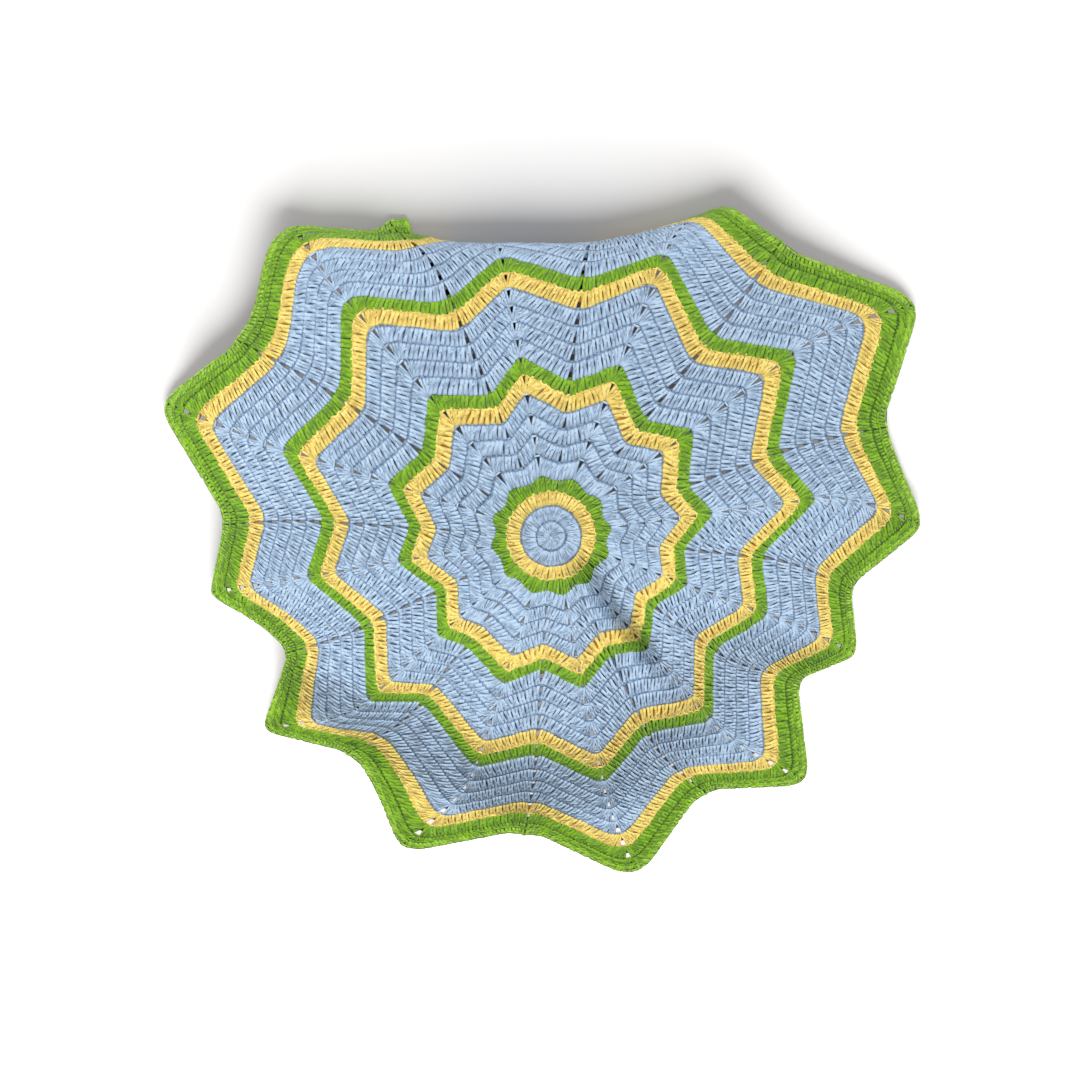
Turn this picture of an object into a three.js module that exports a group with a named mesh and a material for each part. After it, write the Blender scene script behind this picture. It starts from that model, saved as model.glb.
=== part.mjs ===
// A twelve-point crochet baby blanket in ripple rounds, lying loose with its far side turned under itself.
// Millimetres, +Z up. The origin is under the middle of the blanket's box, on the surface that it lies on.
import * as THREE from "three";

// The cloth
const thickness = 4; // one layer of aran-weight trebles
const yarnBlue = 0xa6bfe0;

// The rounds, counted from the middle: 22 of trebles, then 2 low ones of double crochet
const lastTreble = 22;
const lastRound = 24;
const lowRound = 0.47; // a double-crochet round measured in treble rounds
const lobeRound = 4; // the first round with points
const discRadii = [0, 14, 28.5, 41]; // the plain round middle, by round
const lobeTip = 58;
const lobeNotch = 53;
const lobeEase = 0.45; // how soft a lobe's outline is between its tip and its notch
const corner = { inside: 0.12, atEdge: 0.2, fromRound: 10 }; // share of a side that each rounded corner takes
const roundTips = { b: 0.42, i: 0.24, l: 0.14, k: 0.16 }; // the share at the edge of the points that differ
const starRounds = [lobeRound, 10, 16, lastRound]; // where the table below gives each spoke's reach

// One row for each spoke: points and the valleys between them, in turn.
// turn is the spoke's bearing inside the second ring and edgeTurn at the edge, in degrees.
// ring1, ring2 and edge are how far out those rounds lie, before the far side is turned under.
const spokes = [
  { name: "a", turn: 162, edgeTurn: 161, ring1: 162, ring2: 264, edge: 382 },
  { name: "ab", turn: 147, edgeTurn: 148, ring1: 146, ring2: 243, edge: 347 },
  { name: "b", turn: 131, edgeTurn: 129.5, ring1: 174, ring2: 291, edge: 381 },
  { name: "bc", turn: 113, edgeTurn: 116, ring1: 145, ring2: 243, edge: 347 },
  { name: "c", turn: 100, edgeTurn: 98, ring1: 170, ring2: 265, edge: 384 },
  { name: "cd", turn: 83, edgeTurn: 82, ring1: 147, ring2: 244, edge: 338 },
  { name: "d", turn: 68, edgeTurn: 65.5, ring1: 173, ring2: 283, edge: 353 },
  { name: "de", turn: 51, edgeTurn: 52, ring1: 142, ring2: 244, edge: 350 },
  { name: "e", turn: 37, edgeTurn: 32.6, ring1: 166, ring2: 286, edge: 403 },
  { name: "ef", turn: 20, edgeTurn: 18, ring1: 139, ring2: 231, edge: 332 },
  { name: "f", turn: 8, edgeTurn: 2, ring1: 154, ring2: 251, edge: 346 },
  { name: "fg", turn: -6, edgeTurn: -10, ring1: 127, ring2: 201, edge: 288 },
  { name: "g", turn: -20, edgeTurn: -21, ring1: 136, ring2: 215, edge: 305 },
  { name: "gh", turn: -35, edgeTurn: -30, ring1: 118, ring2: 188, edge: 272 },
  { name: "h", turn: -49, edgeTurn: -44, ring1: 140, ring2: 228, edge: 329 },
  { name: "hi", turn: -64, edgeTurn: -59, ring1: 127, ring2: 207, edge: 283 },
  { name: "i", turn: -78, edgeTurn: -76, ring1: 146, ring2: 235, edge: 324 },
  { name: "ij", turn: -94, edgeTurn: -95, ring1: 127, ring2: 206, edge: 282 },
  { name: "j", turn: -108, edgeTurn: -115.5, ring1: 146, ring2: 226, edge: 322 },
  { name: "jk", turn: -128, edgeTurn: -133, ring1: 132, ring2: 199, edge: 281 },
  { name: "k", turn: -138, edgeTurn: -146, ring1: 142, ring2: 229, edge: 322 },
  { name: "kl", turn: -154, edgeTurn: -156, ring1: 122, ring2: 198, edge: 271 },
  { name: "l", turn: -170.5, edgeTurn: -170.5, ring1: 147, ring2: 232, edge: 322 },
  { name: "la", turn: -183.5, edgeTurn: -182, ring1: 135, ring2: 216, edge: 307 },
];

// How far the middle of a side of the edge is drawn in, by the spoke that the side starts from
const drawnSides = { j: 6, kl: 7, ab: -2, b: 4 };
const drawnFrom = 15; // the round from which sides are drawn in

// The long swell along the far side, whose crest the cloth climbs to and then turns down from.
// line is how far back the crest runs, height is its height, and steepest caps the slope past it:
// under 90 degrees the cloth lands outwards, and far over 90 it is turned right under.
const crest = [
  { across: -420, line: 330, height: 0, steepest: 30 },
  { across: -345, line: 300, height: 2, steepest: 40 },
  { across: -290, line: 262, height: 16, steepest: 46 },
  { across: -245, line: 246, height: 33, steepest: 57 },
  { across: -205, line: 239, height: 42, steepest: 76 },
  { across: -174, line: 234, height: 45, steepest: 79 },
  { across: -150, line: 229, height: 46, steepest: 62 },
  { across: -130, line: 225, height: 47, steepest: 93 },
  { across: -112, line: 223, height: 48, steepest: 98 },
  { across: -92, line: 221, height: 49, steepest: 120 },
  { across: -70, line: 220, height: 50, steepest: 300 },
  { across: -50, line: 220, height: 50, steepest: 400 },
  { across: 40, line: 221, height: 50, steepest: 400 },
  { across: 100, line: 237, height: 47, steepest: 400 },
  { across: 138, line: 256, height: 41, steepest: 300 },
  { across: 175, line: 279, height: 33, steepest: 60 },
  { across: 215, line: 292, height: 24, steepest: 45 },
  { across: 290, line: 300, height: 12, steepest: 40 },
  { across: 400, line: 300, height: 0, steepest: 30 },
];
const crestHeight = 47; // the height that the roll below is drawn for
const rampStart = -60; // where the cloth starts to climb to the crest
const rampBefore = 24; // how far short of the crest it reaches its height
const rampEase = 0.26; // share of the climb that each soft end takes

// The roll past the crest, as stretches of cloth and the degrees that each one turns
const roll = [
  { length: 30, turn: 20 },
  { length: 28, turn: 45 },
  { length: 14, turn: 23 },
  { length: 24, turn: 92 },
];
const rollSteps = 120;
const capSharpness = 4; // how sharply the slope stops at its steepest
const smallestRoll = 0.7; // how small the roll gets where the crest is low
const landOutwards = 14; // height at which a slope starts to flatten on to the surface
const landUnder = 7; // the same for cloth that is turned under
const turnsOut = 76; // up to this slope the cloth lands outwards
const turnsUnder = 100; // and past this one it turns under
const landing = 2; // keeps the last of the slope from dying out above the surface

// The swell round the near side, from which the last rounds slope down: bearing in degrees,
// how far out its top runs, its height, and its outer width
const swell = [
  { around: -200, line: 262, height: 0, outside: 60 },
  { around: -186, line: 264, height: 6, outside: 60 },
  { around: -170, line: 268, height: 16, outside: 58 },
  { around: -156, line: 258, height: 32, outside: 56 },
  { around: -142, line: 218, height: 44, outside: 72 },
  { around: -128, line: 193, height: 45, outside: 86 },
  { around: -112, line: 193, height: 43, outside: 86 },
  { around: -96, line: 194, height: 42, outside: 84 },
  { around: -80, line: 186, height: 41, outside: 90 },
  { around: -66, line: 172, height: 42, outside: 102 },
  { around: -52, line: 150, height: 43, outside: 112 },
  { around: -40, line: 148, height: 43, outside: 112 },
  { around: -28, line: 158, height: 38, outside: 106 },
  { around: -14, line: 196, height: 24, outside: 92 },
  { around: 2, line: 230, height: 8, outside: 80 },
  { around: 14, line: 240, height: 0, outside: 80 },
];
const swellInside = 165; // its inner width
const swellClear = 6; // how far it keeps off the middle
const mound = { height: 26, reach: 250 }; // the middle stands up a little under the whole cloth

// The soft trough that runs from the middle to the near right, in a low swell of its own
const trough = { fromX: 22, fromY: -24, toX: 94, toY: -150, sway: 4, width: 26, depth: 28 };
const troughStart = { at: -0.08, fade: 0.25 };
const troughEnd = { at: 1.15, fade: 0.5 };
const troughSwell = { height: 8, width: 80, at: 0.55, length: 0.8 };

const settled = { under: 1, over: 2 }; // cloth lower than this lies flat, and just above it flattens softly

// Places where the cloth or its edge stands a little off the surface
const lifts = [
  { name: "left shoulder", x: -262, y: 70, wide: 150, deep: 200, height: 24 },
  { name: "far left corner", x: -262, y: 235, wide: 55, deep: 60, height: 9 },
  { name: "left edge", x: -322, y: 158, wide: 34, deep: 40, height: 7 },
  { name: "left point", x: -310, y: -70, wide: 40, deep: 34, height: 6 },
  { name: "near left point", x: -262, y: -160, wide: 42, deep: 36, height: 8 },
  { name: "near right pleat", x: 238, y: -98, wide: 56, deep: 38, height: 15 },
  { name: "right point", x: 322, y: 24, wide: 44, deep: 28, height: 11 },
  { name: "far right edge", x: 322, y: 150, wide: 40, deep: 48, height: 7 },
];

// How the sheet is divided: parts to a side, by the first and last spoke that each row covers
const usualParts = 3;
const finerParts = [
  { from: 2, to: 6, parts: 6 }, // where the far side is turned under
  { from: 13, to: 15, parts: 5 }, // round the trough
];
const innerRounds = [2, 4, 6, 8, 10, 12, 13, 14, 15];
const outerRounds = { from: 16, step: 0.5 };
const lastRounds = [lastTreble, 22.7, 23.3, lastRound];

const radians = THREE.MathUtils.degToRad;
const smooth = (t) => THREE.MathUtils.smoothstep(t, 0, 1);
const isTip = (spoke) => spoke % 2 === 0;

// 1 at 0, falling softly to 0 at 1 and past it
function bell(t) {
  const inside = Math.max(0, 1 - t * t);
  return inside * inside;
}

// 0 to 1 with a straight middle and soft ends, each a share soft of the way
function easedLine(t, soft) {
  const way = THREE.MathUtils.clamp(t, 0, 1);
  let rise = way - soft / 2;
  if (way < soft) rise = (way * way) / (2 * soft);
  if (way > 1 - soft) rise = 1 - soft - (1 - way) ** 2 / (2 * soft);
  return rise / (1 - soft);
}

// A round's distance out, in treble rounds
function roundMeasure(round) {
  return Math.min(round, lastTreble) + Math.max(0, round - lastTreble) * lowRound;
}

// A smooth line through the heights at the given stations that never overshoots a rising run
function risingCurve(at, stations, values) {
  const spans = stations.slice(1).map((station, i) => station - stations[i]);
  const slopes = spans.map((span, i) => (values[i + 1] - values[i]) / span);
  const tangents = values.map((_, i) => {
    if (i === 0) return slopes[0];
    if (i === slopes.length) return slopes[i - 1];
    const before = 2 * spans[i] + spans[i - 1];
    const after = spans[i] + 2 * spans[i - 1];
    return (before + after) / (before / slopes[i - 1] + after / slopes[i]);
  });
  return hermite(at, stations, values, tangents);
}

function hermite(at, stations, values, tangents) {
  let i = 0;
  while (i < stations.length - 2 && at > stations[i + 1]) i += 1;
  const span = stations[i + 1] - stations[i];
  const t = THREE.MathUtils.clamp((at - stations[i]) / span, 0, 1);
  const t2 = t * t;
  const t3 = t2 * t;
  return (
    (2 * t3 - 3 * t2 + 1) * values[i] +
    (t3 - 2 * t2 + t) * span * tangents[i] +
    (3 * t2 - 2 * t3) * values[i + 1] +
    (t3 - t2) * span * tangents[i + 1]
  );
}

// How far out a round lies along a spoke
function reach(round, spoke) {
  const lobe = isTip(spoke) ? lobeTip : lobeNotch;
  const lastDisc = discRadii.length - 1;
  if (round <= lastDisc) {
    const inner = Math.min(Math.floor(round), lastDisc - 1);
    return THREE.MathUtils.lerp(discRadii[inner], discRadii[inner + 1], round - inner);
  }
  if (round < lobeRound) return THREE.MathUtils.lerp(discRadii[lastDisc], lobe, round - lastDisc);
  const { ring1, ring2, edge } = spokes[spoke];
  return risingCurve(roundMeasure(round), starRounds.map(roundMeasure), [lobe, ring1, ring2, edge]);
}

function bearing(round, spoke) {
  const { turn, edgeTurn } = spokes[spoke];
  const out = smooth((round - starRounds[2]) / (lastRound - starRounds[2]));
  return radians(THREE.MathUtils.lerp(turn, edgeTurn, out));
}

// The place of a round, seen from above, before the far side is turned under.
// place counts spokes, so 2.5 is half way from the second point to the valley after it.
function laidPlace(round, place) {
  const first = Math.floor(place) % spokes.length;
  const second = (first + 1) % spokes.length;
  const tip = isTip(first) ? first : second;
  const valley = isTip(first) ? second : first;
  const way = isTip(first) ? place - Math.floor(place) : 1 - (place - Math.floor(place));
  const tipBearing = bearing(round, tip);
  const valleyBearing = bearing(round, valley);
  const tipReach = reach(round, tip);
  const valleyReach = reach(round, valley);

  // The side runs straight from the point to the valley, with both corners a little rounded
  const outwards = new THREE.Vector2(Math.cos(tipBearing), Math.sin(tipBearing));
  const side = new THREE.Vector2(Math.cos(valleyBearing), Math.sin(valleyBearing))
    .multiplyScalar(valleyReach)
    .addScaledVector(outwards, -tipReach);
  const inwards = outwards.clone().multiplyScalar(side.dot(outwards));
  const edgeShare = THREE.MathUtils.clamp((round - corner.fromRound) / (lastRound - corner.fromRound), 0, 1);
  const edgeRoundness = roundTips[spokes[tip].name] ?? corner.atEdge;
  const roundness = THREE.MathUtils.lerp(corner.inside, edgeRoundness, edgeShare);
  const straight = outwards
    .clone()
    .multiplyScalar(tipReach)
    .addScaledVector(side.sub(inwards), way)
    .addScaledVector(inwards, easedLine(way, roundness));
  const drawn = drawnSides[spokes[first].name] ?? 0;
  const drawnShare = Math.sin(Math.PI * way) * smooth((round - drawnFrom) / (lastRound - drawnFrom));
  straight.setLength(straight.length() - drawn * drawnShare);
  if (round >= lobeRound + 1) return straight;

  // The middle rounds are circles, and the lobed one a soft wave on a circle
  let turnBetween = valleyBearing - tipBearing;
  turnBetween -= 2 * Math.PI * Math.round(turnBetween / (2 * Math.PI));
  const angle = tipBearing + turnBetween * way;
  const radius = THREE.MathUtils.lerp(tipReach, valleyReach, easedLine(way, lobeEase));
  const curved = new THREE.Vector2(Math.cos(angle), Math.sin(angle)).multiplyScalar(radius);
  return curved.lerp(straight, THREE.MathUtils.clamp(round - lobeRound, 0, 1));
}

// A column of a table, along a smooth line: at is measured in the table's first column, named by key
function tableValue(table, key, at, column) {
  const stations = table.map((row) => row[key]);
  const values = table.map((row) => row[column]);
  const tangents = values.map((_, i) => {
    const before = Math.max(0, i - 1);
    const after = Math.min(values.length - 1, i + 1);
    return (values[after] - values[before]) / (stations[after] - stations[before]);
  });
  return hermite(at, stations, values, tangents);
}

function steepestAt(across) {
  const next = Math.max(1, crest.findIndex((row) => row.across > across));
  const [before, after] = [crest[next - 1], crest[next]];
  const way = THREE.MathUtils.clamp((across - before.across) / (after.across - before.across), 0, 1);
  return THREE.MathUtils.lerp(before.steepest, after.steepest, way);
}

function nearSwell(x, y) {
  let around = THREE.MathUtils.radToDeg(Math.atan2(y, x));
  if (around > 90) around -= 360;
  const line = tableValue(swell, "around", around, "line");
  const height = Math.max(0, tableValue(swell, "around", around, "height"));
  const away = Math.hypot(x, y) - line;
  const inside = Math.min(swellInside, line - swellClear);
  return height * bell(away / (away < 0 ? inside : tableValue(swell, "around", around, "outside")));
}

// The cloth's height before the far side is turned under
function laidHeight(x, y) {
  const line = tableValue(crest, "across", x, "line");
  const top = Math.max(0, tableValue(crest, "across", x, "height"));
  let height = top * easedLine((y - rampStart) / (line - rampBefore - rampStart), rampEase);
  height += nearSwell(x, y);
  height += mound.height * bell(Math.hypot(x, y) / mound.reach);
  for (const lift of lifts) {
    height += lift.height * bell(Math.hypot((x - lift.x) / lift.wide, (y - lift.y) / lift.deep));
  }
  const run = new THREE.Vector2(trough.toX - trough.fromX, trough.toY - trough.fromY);
  const length = run.length();
  run.normalize();
  const along = ((x - trough.fromX) * run.x + (y - trough.fromY) * run.y) / length;
  const sway = trough.sway * Math.sin(2 * Math.PI * THREE.MathUtils.clamp(along, 0, 1));
  const aside = (y - trough.fromY) * run.x - (x - trough.fromX) * run.y + sway;
  const swollen = bell((along - troughSwell.at) / troughSwell.length) * bell(aside / troughSwell.width);
  height += troughSwell.height * swollen;
  const begun = smooth((along - troughStart.at) / troughStart.fade);
  const left = smooth((troughEnd.at - along) / troughEnd.fade);
  height -= Math.min(trough.depth, height) * bell(aside / trough.width) * begun * left;
  const clear = Math.max(0, height - settled.under);
  return (clear * clear) / (clear + settled.over);
}

function rollAngle(length) {
  let left = length;
  let angle = 0;
  for (const stretch of roll) {
    angle += stretch.turn * THREE.MathUtils.clamp(left / stretch.length, 0, 1);
    left -= stretch.length;
  }
  return angle;
}

// Follows the cloth past the crest, for a length of it, and gives how far on and how high it is
function pastCrest(length, top, steepest) {
  const size = THREE.MathUtils.clamp(top / crestHeight, smallestRoll, 1);
  const step = length / rollSteps;
  let forwards = 0;
  let height = top;
  for (let i = 0; i < rollSteps; i += 1) {
    const free = rollAngle(((i + 0.5) * step) / size);
    const slope = (free ** -capSharpness + steepest ** -capSharpness) ** (-1 / capSharpness);
    const landed = slope * smooth((height + landing) / landOutwards);
    const tucked = 180 - (180 - slope) * smooth((height + landing) / landUnder);
    const angle = THREE.MathUtils.lerp(landed, tucked, smooth((slope - turnsOut) / (turnsUnder - turnsOut)));
    forwards += Math.cos(radians(angle)) * step;
    height = Math.max(0, height - Math.sin(radians(angle)) * step);
  }
  return { forwards, height };
}

// The middle of the cloth's thickness, on the surface that it lies on
function clothPoint(round, place) {
  const { x, y } = laidPlace(round, place);
  const line = tableValue(crest, "across", x, "line");
  if (y <= line) return new THREE.Vector3(x, y, laidHeight(x, y) + thickness / 2);
  const past = pastCrest(y - line, laidHeight(x, line), steepestAt(x));
  return new THREE.Vector3(x, line + past.forwards, past.height + thickness / 2);
}

function sheetRounds() {
  const outer = [];
  for (let round = outerRounds.from; round < lastTreble; round += outerRounds.step) outer.push(round);
  return [...innerRounds, ...outer, ...lastRounds];
}

function sheetPlaces() {
  const places = [];
  for (let spoke = 0; spoke < spokes.length; spoke += 1) {
    const finer = finerParts.find((row) => spoke >= row.from && spoke <= row.to);
    const parts = finer ? finer.parts : usualParts;
    for (let part = 0; part < parts; part += 1) places.push(spoke + part / parts);
  }
  return places;
}

// The middle surface of the cloth: one vertex in the middle, then a row of vertices for each round
function middleSurface(rounds, places) {
  const across = places.length;
  const points = [clothPoint(0, 0)];
  for (const round of rounds) {
    for (const place of places) points.push(clothPoint(round, place));
  }
  const vertex = (row, column) => 1 + row * across + (column % across);
  const faces = [];
  for (let column = 0; column < across; column += 1) {
    faces.push(0, vertex(0, column + 1), vertex(0, column));
    for (let row = 0; row < rounds.length - 1; row += 1) {
      const [a, b] = [vertex(row, column), vertex(row, column + 1)];
      const [c, d] = [vertex(row + 1, column), vertex(row + 1, column + 1)];
      // Each four-sided patch is split along its shorter diagonal, which follows the folds
      if (points[a].distanceTo(points[d]) < points[b].distanceTo(points[c])) faces.push(a, b, d, a, d, c);
      else faces.push(a, b, c, b, d, c);
    }
  }
  const surface = new THREE.BufferGeometry().setFromPoints(points);
  surface.setIndex(faces);
  surface.computeVertexNormals();
  return surface;
}

// The sheet: the middle surface moved half its thickness each way, and closed around the edge
function blanketGeometry() {
  const places = sheetPlaces();
  const middle = middleSurface(sheetRounds(), places);
  const { position, normal } = middle.attributes;
  const positions = [];
  for (const side of [1, -1]) {
    for (let i = 0; i < position.count; i += 1) {
      const square = new THREE.Vector3().fromBufferAttribute(normal, i);
      const point = new THREE.Vector3().fromBufferAttribute(position, i);
      point.addScaledVector(square, (side * thickness) / 2);
      positions.push(point.x, point.y, Math.max(0, point.z));
    }
  }
  const top = [...middle.index.array];
  const faces = [...top];
  for (let i = 0; i < top.length; i += 3) {
    faces.push(top[i] + position.count, top[i + 2] + position.count, top[i + 1] + position.count);
  }
  const edgeStart = position.count - places.length;
  for (let column = 0; column < places.length; column += 1) {
    const here = edgeStart + column;
    const next = edgeStart + ((column + 1) % places.length);
    faces.push(here, next, next + position.count);
    faces.push(here, next + position.count, here + position.count);
  }
  const geometry = new THREE.BufferGeometry();
  geometry.setAttribute("position", new THREE.Float32BufferAttribute(positions, 3));
  geometry.setIndex(faces);
  geometry.computeBoundingBox();
  const centre = geometry.boundingBox.getCenter(new THREE.Vector3());
  geometry.translate(-centre.x, -centre.y, -geometry.boundingBox.min.z);
  geometry.computeVertexNormals();
  return geometry;
}

const crochet = new THREE.MeshStandardMaterial({ color: yarnBlue, roughness: 0.95, metalness: 0 });
const blanket = new THREE.Mesh(blanketGeometry(), crochet);
blanket.name = "blanket";

const group = new THREE.Group();
group.add(blanket);
export default group;
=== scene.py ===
# Star crochet baby blanket: rounds of treble crochet in blue, yellow and green, laid loose on a pale floor
import functools
import math

import bpy
import numpy as np
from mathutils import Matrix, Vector


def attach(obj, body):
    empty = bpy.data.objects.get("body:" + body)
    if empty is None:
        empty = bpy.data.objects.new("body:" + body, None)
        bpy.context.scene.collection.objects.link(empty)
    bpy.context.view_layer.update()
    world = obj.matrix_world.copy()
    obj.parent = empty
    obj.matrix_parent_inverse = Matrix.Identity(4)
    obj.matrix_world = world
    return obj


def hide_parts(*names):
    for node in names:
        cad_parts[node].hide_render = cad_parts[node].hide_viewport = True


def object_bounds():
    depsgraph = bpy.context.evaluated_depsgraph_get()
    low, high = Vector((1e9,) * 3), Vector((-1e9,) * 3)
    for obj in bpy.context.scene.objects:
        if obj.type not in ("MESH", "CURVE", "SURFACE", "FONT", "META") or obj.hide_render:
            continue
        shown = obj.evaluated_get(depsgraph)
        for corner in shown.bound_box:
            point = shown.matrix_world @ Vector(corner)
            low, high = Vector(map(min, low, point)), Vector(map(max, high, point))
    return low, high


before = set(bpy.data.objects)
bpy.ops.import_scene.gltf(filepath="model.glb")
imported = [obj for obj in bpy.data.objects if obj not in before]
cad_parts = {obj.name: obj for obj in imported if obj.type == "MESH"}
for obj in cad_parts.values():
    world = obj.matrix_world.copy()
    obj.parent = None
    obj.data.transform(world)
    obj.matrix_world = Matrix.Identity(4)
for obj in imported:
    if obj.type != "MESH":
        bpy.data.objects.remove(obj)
cadLow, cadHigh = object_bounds()
print("frame loaded")

mm = 0.001
dice = np.random.default_rng(24)

# How the blanket lies, in millimetres from the middle of the round: round 0 is its middle, and a place on a
# round is counted in spokes, with points at the even ones and valleys at the odd ones
rounds = {
    "firstLobed": 4,
    "firstYellow": 9,
    "ringOne": 10,  # the green rounds that the table below gives reaches for
    "ringTwo": 16,
    "lastTreble": 22,
    "last": 24,
    "lowRound": 0.47,  # height of a low round, in treble rounds
}
discRadii = [0, 14, 28.5, 41]  # the plain round middle, by round
lobe = {"tip": 58, "notch": 53, "ease": 0.45}

# One row for each spoke, points and valleys in turn: bearing inside ring 2 and at the edge in degrees,
# then how far out ring 1, ring 2 and the edge lie
spokeTable = {
    "a": (162, 161, 162, 264, 382),
    "ab": (147, 148, 146, 243, 347),
    "b": (131, 129.5, 174, 291, 381),
    "bc": (113, 116, 145, 243, 347),
    "c": (100, 98, 170, 265, 384),
    "cd": (83, 82, 147, 244, 338),
    "d": (68, 65.5, 173, 283, 353),
    "de": (51, 52, 142, 244, 350),
    "e": (37, 32.6, 166, 286, 403),
    "ef": (20, 18, 139, 231, 332),
    "f": (8, 2, 154, 251, 346),
    "fg": (-6, -10, 127, 201, 288),
    "g": (-20, -21, 136, 215, 305),
    "gh": (-35, -30, 118, 188, 272),
    "h": (-49, -44, 140, 228, 329),
    "hi": (-64, -59, 127, 207, 283),
    "i": (-78, -76, 146, 235, 324),
    "ij": (-94, -95, 127, 206, 282),
    "j": (-108, -115.5, 146, 226, 322),
    "jk": (-128, -133, 132, 199, 281),
    "k": (-138, -146, 142, 229, 322),
    "kl": (-154, -156, 122, 198, 271),
    "l": (-170.5, -170.5, 147, 232, 322),
    "la": (-183.5, -182, 135, 216, 307),
}
bearing, edgeBearing, ring1, ring2, edgeReach = np.array(list(spokeTable.values()), float).T
bearing, edgeBearing = np.radians(bearing), np.radians(edgeBearing)
spokeCount = len(spokeTable)
lobeReach = np.where(np.arange(spokeCount) % 2 == 0, lobe["tip"], lobe["notch"])

# The long swell along the far side: across, how far back its crest runs, its height, and the steepest slope
# past it. Under 90 degrees the cloth lands outwards, and far over 90 it is turned right under.
crestTable = [
    (-420, 330, 0, 30),
    (-345, 300, 2, 40),
    (-290, 262, 16, 46),
    (-245, 246, 33, 57),
    (-205, 239, 42, 76),
    (-174, 234, 45, 79),
    (-150, 229, 46, 62),
    (-130, 225, 47, 93),
    (-112, 223, 48, 98),
    (-92, 221, 49, 120),
    (-70, 220, 50, 300),
    (-50, 220, 50, 400),
    (40, 221, 50, 400),
    (100, 237, 47, 400),
    (138, 256, 41, 300),
    (175, 279, 33, 60),
    (215, 292, 24, 45),
    (290, 300, 12, 40),
    (400, 300, 0, 30),
]
crestAcross, crestLine, crestTop, crestSteep = np.array(crestTable, float).T
roll = {
    "height": 47,
    "stretches": [(30, 20), (28, 45), (14, 23), (24, 92)],  # length of cloth, and degrees that it turns there
    "steps": 120,
    "smallest": 0.7,
    "landOutwards": 14,
    "landUnder": 7,
    "landing": 2,
    "turnsOut": 76,  # up to this slope the cloth lands outwards, and past the next it turns under
    "turnsUnder": 100,
    "sharpness": 4,  # how sharply the free roll gives way to the steepest slope
}
# The rise from the middle up to the crest
ramp = {"start": -60, "before": 24, "ease": 0.26}
# The low swell round the near side: bearing in degrees, how far out its top runs, its height, its outer width
swellTable = [
    (-200, 262, 0, 60),
    (-186, 264, 6, 60),
    (-170, 268, 16, 58),
    (-156, 258, 32, 56),
    (-142, 218, 44, 72),
    (-128, 193, 45, 86),
    (-112, 193, 43, 86),
    (-96, 194, 42, 84),
    (-80, 186, 41, 90),
    (-66, 172, 42, 102),
    (-52, 150, 43, 112),
    (-40, 148, 43, 112),
    (-28, 158, 38, 106),
    (-14, 196, 24, 92),
    (2, 230, 8, 80),
    (14, 240, 0, 80),
]
swellBearing, swellReach, swellTop, swellOutside = np.array(swellTable, float).T
swellInside, swellClear = 165, 6  # its inner width, and how far it keeps off the middle
mound = {"height": 26, "reach": 250}  # the middle stands up a little under the whole cloth
# How far the middle of a side of the edge is drawn in, in mm, by the spoke it starts from, and the round from
# which this grows
drawnSides = {"j": 6, "kl": 7, "ab": -2, "b": 4}
sideDraw = np.array([drawnSides.get(name, 0) for name in spokeTable], float)
drawnFrom = 15
# How round the points are, as a share of a side: inside ring 1, at the edge, and where they differ there
pointCorner = {"inside": 0.12, "atEdge": 0.2}
roundTips = {"b": 0.42, "i": 0.24, "l": 0.14, "k": 0.16}
tipRound = np.array([roundTips.get(name, pointCorner["atEdge"]) for name in spokeTable], float)
# The deep fold beside the middle, where it begins and ends in its own lengths, and the swell that it lies in
trough = {"fromX": 22, "fromY": -24, "toX": 94, "toY": -150, "sway": 4, "width": 26, "depth": 28}
troughEnds = {"start": -0.08, "startEase": 0.25, "end": 1.15, "endEase": 0.5}
troughSwell = {"height": 8, "width": 80, "at": 0.55, "length": 0.8}
settled = {"under": 1, "over": 2}  # lower than this the cloth lies flat on the floor
# Places that stand a little off the floor: x, y, half width, half depth, height
lifts = {
    "leftShoulder": (-262, 70, 150, 200, 24),
    "farLeftCorner": (-262, 235, 55, 60, 9),
    "leftEdge": (-322, 158, 34, 40, 7),
    "leftPoint": (-310, -70, 40, 34, 6),
    "nearLeftPoint": (-262, -160, 42, 36, 8),
    "nearRightPleat": (238, -98, 56, 38, 15),
    "rightPoint": (322, 24, 44, 28, 11),
    "farRightEdge": (322, 150, 40, 48, 7),
}


def smooth(t):
    t = np.clip(t, 0, 1)
    return t * t * (3 - 2 * t)


def bell(t):
    return np.maximum(0, 1 - t * t) ** 2


def easedLine(t, soft):
    way = np.clip(t, 0, 1)
    rise = np.where(way < soft, way * way / (2 * soft), way - soft / 2)
    rise = np.where(way > 1 - soft, 1 - soft - (1 - way) ** 2 / (2 * soft), rise)
    return rise / (1 - soft)


def hermite(t, span, start, end, startSlope, endSlope):
    t2, t3 = t * t, t * t * t
    return (
        (2 * t3 - 3 * t2 + 1) * start
        + (t3 - 2 * t2 + t) * span * startSlope
        + (3 * t2 - 2 * t3) * end
        + (t3 - t2) * span * endSlope
    )


def roundMeasure(turn):
    extra = np.maximum(0, turn - rounds["lastTreble"])
    return np.minimum(turn, rounds["lastTreble"]) + extra * rounds["lowRound"]


starRounds = [rounds[name] for name in ("firstLobed", "ringOne", "ringTwo", "last")]
reachStations = roundMeasure(np.array(starRounds, float))
reachValues = np.stack([lobeReach, ring1, ring2, edgeReach])
reachSpans = np.diff(reachStations)
reachSlopes = np.diff(reachValues, axis=0) / reachSpans[:, None]


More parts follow.
